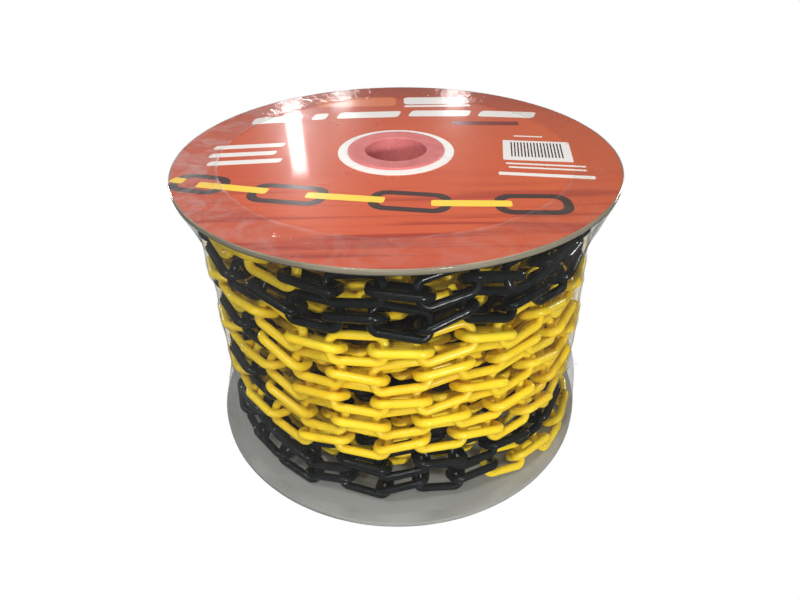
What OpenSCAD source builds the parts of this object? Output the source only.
// Reel of black and yellow plastic safety chain in a clear shrink sleeve.
// Units are millimetres. The origin is at the centre of the reel's underside, and +Z is the reel's axis.
// The front is -Y. The chain is wound in four layers, and its free end lies on the lower flange.

/* [Reel] */
// Radius of both flange boards
flange_r = 160; // [158:0.5:170]
// Thickness of a flange board
board_t = 4.1; // [3:0.1:4.2]
// Height from the underside of the lower flange to the face of the top label
reel_h = 226; // [226:0.5:236]
// Outer radius of the cardboard core tube
core_r = 42; // [39:0.5:50]
// Wall of the cardboard core tube
core_wall = 6; // [3:0.5:8]

/* [Hub] */
// Radius of the spindle bore through both hub bushes
bore_r = 22.5; // [15:0.5:26]
// Radius of the collar that a bush shows outside its flange
collar_r = 35.5; // [34.5:0.5:38]
// Height of the collar above the hub washer
collar_t = 1.6; // [1:0.1:3]
// Outer radius of the white hub washer
washer_r = 42.5; // [40:0.5:50]
// Thickness of the white hub washer
washer_t = 0.6; // [0.4:0.1:1]
// Length of a bush inside the reel
bush_l = 34; // [20:1:60]
// Wall of a bush's sleeve between the bore and the core tube
sleeve_r = 33; // [30:0.5:34]

/* [Label and sleeve] */
// Thickness of the printed paper label
label_t = 0.25; // [0.2:0.05:0.4]
// Radius of the label, which stops just inside the flange's edge
label_r = 159.2; // [150:0.1:159.5]
// Thickness of the shrink sleeve
film_t = 0.3; // [0.2:0.05:0.4]
// Radius of the sleeve at its waist
waist_r = 151.3; // [151.2:0.1:156]
// Radius of the round opening that the sleeve leaves on the top flange
film_opening_r = 128; // [100:1:150]

/* [Chain link] */
// Diameter of the round plastic bar
wire_d = 6; // [4:0.1:6]
// Length of a link over its ends
link_l = 42; // [41:0.1:42]
// Width of a link over its sides
link_w = 23; // [22:0.1:23]
// Radius of a link's corners at the middle of the bar
corner_r = 6; // [4:0.5:8]

/* [Hidden] */
$fn = 96;
fit = 0.05;                       // gap between pieces that only touch
top_board_z = reel_h - label_t - board_t;

// Winding: each row is one layer of the chain, from the outermost inwards. A layer is a helix of
// links. Its place wanders up and down in waves that all the turns of the layer share, so that
// neighbouring turns nest, and each link leans a little from its neighbours.
OUTER = 0; SECOND = 1; THIRD = 2; FOURTH = 3;
layer_name = ["outer", "second", "third", "fourth"];
// Links in each colour run of a layer, from the layer's first link. The two colours take turns.
layer_runs = [
    [7, 54, 27, 11, 51, 11, 49, 50],
    [41, 20, 50, 30, 60, 20, 62],
    [28, 28, 28, 28, 28, 28, 28, 24],
    [30, 30, 30, 30, 30, 28]
];
BLACK = 0; YELLOW = 1;
first_colour = [YELLOW, YELLOW, BLACK, BLACK];
per_turn = [31, 27, 21, 17];      // links in one turn
turn_pitch = [22, 17.6, 17.6, 17.6];
layer_r = [137, 114, 91.5, 69];   // radius of the layer's middle
start_az = [160, 70, -40, -40];   // degrees
start_z = [203.5, 20.3, 204.7, 20.4];
rise = [-1, 1, -1, 1];            // a layer goes down or up the reel
// Waves of height: [size in mm, waves per turn, phase in degrees, shift per turn in degrees]
sway = [
    [[3, 5, 70, 6], [3, 13, 280, 20]],
    [[2.5, 5, 100, 0], [2, 9, 110, 0]],
    [[1.5, 4, 20, 0]],
    [[1, 3, 20, 0]]
];
swell = [[1.5, 4, 10, 30], [0, 4, 0, 0], [0, 4, 0, 0], [0, 4, 0, 0]];   // one such wave of radius
loose_z = [1.6, 0, 0, 0];         // how far a joint strays in height
loose_r = [1.4, 0, 0, 0];         // how far a joint strays in radius
loose_roll = [9, 0, 0, 0];        // how far a link strays in roll, in degrees
seed = 111;
lean = 26;                        // roll of the flat links, so that turns overlap like shingles

// Chain tail: the joints of the free end, from the outer layer's last joint
tail_count = 5;
tail_step = [11.2, 11, 10.8, 10.6, 10.6];      // degrees around the reel
tail_r = [141, 145, 146, 146, 146];
tail_z = [14.6, 13.4, 13.4, 13.4, 13.4];
tail_roll = [45, 135, 45, 135, 45];            // the links lie on alternate slants

function wave(w, az, turn) = w[0] * sin(w[1] * az + w[2] + w[3] * turn);
function total(v, i = 0) = i < len(v) ? v[i] + total(v, i + 1) : 0;
// A repeatable number from -1 to 1 for each index and each stream
function scatter(i, stream) =
    let (v = sin(i * 127.1 + stream * 311.7) * 43758.5453) 2 * (v - floor(v)) - 1;

function run_start(c, n) = n > 0 ? total([for (i = [0:n - 1]) layer_runs[c][i]]) : 0;
function links_in(c) = total(layer_runs[c]);

function joint_az(c, j) = start_az[c] + j * 360 / per_turn[c];
function joint_z(c, j) =
    let (az = joint_az(c, j), turn = j / per_turn[c])
    start_z[c] + rise[c] * turn * turn_pitch[c] + total([for (w = sway[c]) wave(w, az, turn)])
        + loose_z[c] * scatter(j, seed);
function joint_r(c, j) =
    layer_r[c] + wave(swell[c], joint_az(c, j), j / per_turn[c]) + loose_r[c] * scatter(j, seed + 1);
function polar(r, az, z) = [r * cos(az), r * sin(az), z];
function joint(c, j) = polar(joint_r(c, j), joint_az(c, j), joint_z(c, j));
function roll_of(c, i) = lean + 90 * (i % 2) + loose_roll[c] * scatter(i, seed + 2);

function tail_az(k) =
    joint_az(OUTER, links_in(OUTER)) + (k > 0 ? total([for (i = [0:k - 1]) tail_step[i]]) : 0);
function tail_joint(k) =
    k == 0 ? joint(OUTER, links_in(OUTER)) : polar(tail_r[k - 1], tail_az(k), tail_z[k - 1]);

function unit(v) = v / norm(v);
// The frame of a link between joints a and b: its length, its width and its face, at a given roll
function link_frame(a, b, roll) =
    let (
        mid = (a + b) / 2,
        along = unit(b - a),
        out = unit([mid[0], mid[1], 0]),
        away = unit(out - (out * along) * along),
        tilt = cross(away, along),
        up = tilt[2] < 0 ? -tilt : tilt,
        wide = cos(roll) * up - sin(roll) * away,
        face = cross(along, wide)
    )
    [for (i = [0:2]) [along[i], wide[i], face[i], mid[i]]];

// A colour run is one strand of the chain, and each is a node
layers = [OUTER, SECOND, THIRD, FOURTH];
colour_name = ["black", "yellow"];
colour_paint = [[0.10, 0.11, 0.11], [0.98, 0.80, 0.12]];
function colour_of(c, n) = (n + first_colour[c]) % 2;
function run_name(c, n) = str(layer_name[c], "_", colour_name[colour_of(c, n)], "_", floor(n / 2) + 1);
runs = [for (c = layers) for (n = [0:len(layer_runs[c]) - 1]) [c, n]];

module ring(outer, inner, h) {
    difference() {
        cylinder(r = outer, h = h);
        translate([0, 0, -1]) cylinder(r = inner, h = h + 2);
    }
}

module flange() {
    ring(flange_r, sleeve_r + fit, board_t);
}

module bottom_flange() {
    color([0.56, 0.56, 0.54]) difference() {
        flange();
        // Seat for the collar, which lies flush with the underside
        translate([0, 0, -1]) cylinder(r = collar_r + fit, h = collar_t + 1);
    }
}

module top_flange() {
    color([0.58, 0.54, 0.46]) translate([0, 0, top_board_z]) flange();
}

module core_tube() {
    tube_z = board_t + fit;
    color([0.66, 0.52, 0.36]) translate([0, 0, tube_z])
        ring(core_r, core_r - core_wall, top_board_z - fit - tube_z);
}

// A moulded bush: a collar outside the flange and a sleeve that holds the core tube's end
rib_n = 8;
rib_w = 2;
rib_root = 1;                     // how deep a rib starts inside the sleeve
module bush(length) {
    rib_z = board_t + 2 * collar_t;
    difference() {
        union() {
            cylinder(r = collar_r, h = collar_t);
            cylinder(r = sleeve_r, h = length);
        }
        translate([0, 0, -1]) cylinder(r = bore_r, h = length + 2);
    }
    // Ribs that centre the sleeve in the core tube
    for (i = [0:rib_n - 1])
        rotate([0, 0, i * 360 / rib_n]) translate([sleeve_r - rib_root, -rib_w / 2, rib_z])
            cube([core_r - core_wall - 2 * fit - sleeve_r + rib_root, rib_w, length - rib_z]);
}

module top_bush() {
    color([0.90, 0.36, 0.42]) translate([0, 0, reel_h + washer_t + collar_t])
        mirror([0, 0, 1]) bush(bush_l + washer_t + label_t);
}

module bottom_bush() {
    color([0.90, 0.36, 0.42]) bush(bush_l);
}

module hub_washer() {
    color([0.95, 0.94, 0.92]) translate([0, 0, reel_h]) ring(washer_r, sleeve_r + fit, washer_t);
}

module top_label() {
    color([0.80, 0.28, 0.16]) translate([0, 0, reel_h - label_t]) ring(label_r, sleeve_r + fit, label_t);
}

// The sleeve is straight on the flanges and pulled in between them, more gently below its middle
sleeve_rim_r = flange_r + fit;
flare_below = 1.6;
flare_above = 2.4;
straight_h = board_t + 1;
film_steps = 20;
film_z = concat(
    [0],
    [for (i = [0:film_steps]) straight_h + (reel_h - 2 * straight_h) * i / film_steps],
    [reel_h]
);
function pull_in(z) =
    let (mid = reel_h / 2, t = min(1, abs(z - mid) / (mid - straight_h)))
    waist_r - film_t + (sleeve_rim_r - waist_r + film_t) * pow(t, z < mid ? flare_below : flare_above);

module shrink_sleeve() {
    inner = [for (z = film_z) [pull_in(z), z]];
    outer = [for (i = [len(film_z) - 1:-1:0]) [pull_in(film_z[i]) + film_t, film_z[i]]];
    lip = [
        [sleeve_rim_r, reel_h + fit],
        [film_opening_r, reel_h + fit],
        [film_opening_r, reel_h + fit + film_t],
        [sleeve_rim_r + film_t, reel_h + fit + film_t]
    ];
    color([0.85, 0.88, 0.88, 0.35]) rotate_extrude() polygon(concat(inner, lip, outer));
}

// One link: four corners and four bars of the same round section
half_l = (link_l - wire_d) / 2 - corner_r;
half_w = (link_w - wire_d) / 2 - corner_r;

module corner(x, y, turn) {
    translate([x, y, 0]) rotate([0, 0, turn]) rotate_extrude(angle = 90, $fn = 32)
        translate([corner_r, 0]) circle(d = wire_d, $fn = 20);
}

module long_bar(y) {
    translate([-half_l, y, 0]) rotate([0, 90, 0]) cylinder(d = wire_d, h = 2 * half_l, $fn = 20);
}

module end_bar(x) {
    translate([x, -half_w, 0]) rotate([-90, 0, 0]) cylinder(d = wire_d, h = 2 * half_w, $fn = 20);
}

module link() {
    corner(half_l, half_w, 0);
    corner(-half_l, half_w, 90);
    corner(-half_l, -half_w, 180);
    corner(half_l, -half_w, 270);
    long_bar(half_w + corner_r);
    long_bar(-half_w - corner_r);
    end_bar(half_l + corner_r);
    end_bar(-half_l - corner_r);
}

module chain_run(c, n) {
    color(colour_paint[colour_of(c, n)]) for (i = [run_start(c, n):run_start(c, n + 1) - 1])
        multmatrix(link_frame(joint(c, i), joint(c, i + 1), roll_of(c, i))) link();
}

module tail_link(k) {
    color(colour_paint[YELLOW])
        multmatrix(link_frame(tail_joint(k), tail_joint(k + 1), tail_roll[k])) link();
}

bottom_flange();
top_flange();
core_tube();
top_bush();
bottom_bush();
hub_washer();
top_label();
shrink_sleeve();
for (t = runs)
    chain_run(t[0], t[1]);
for (k = [0:tail_count - 1])
    tail_link(k);
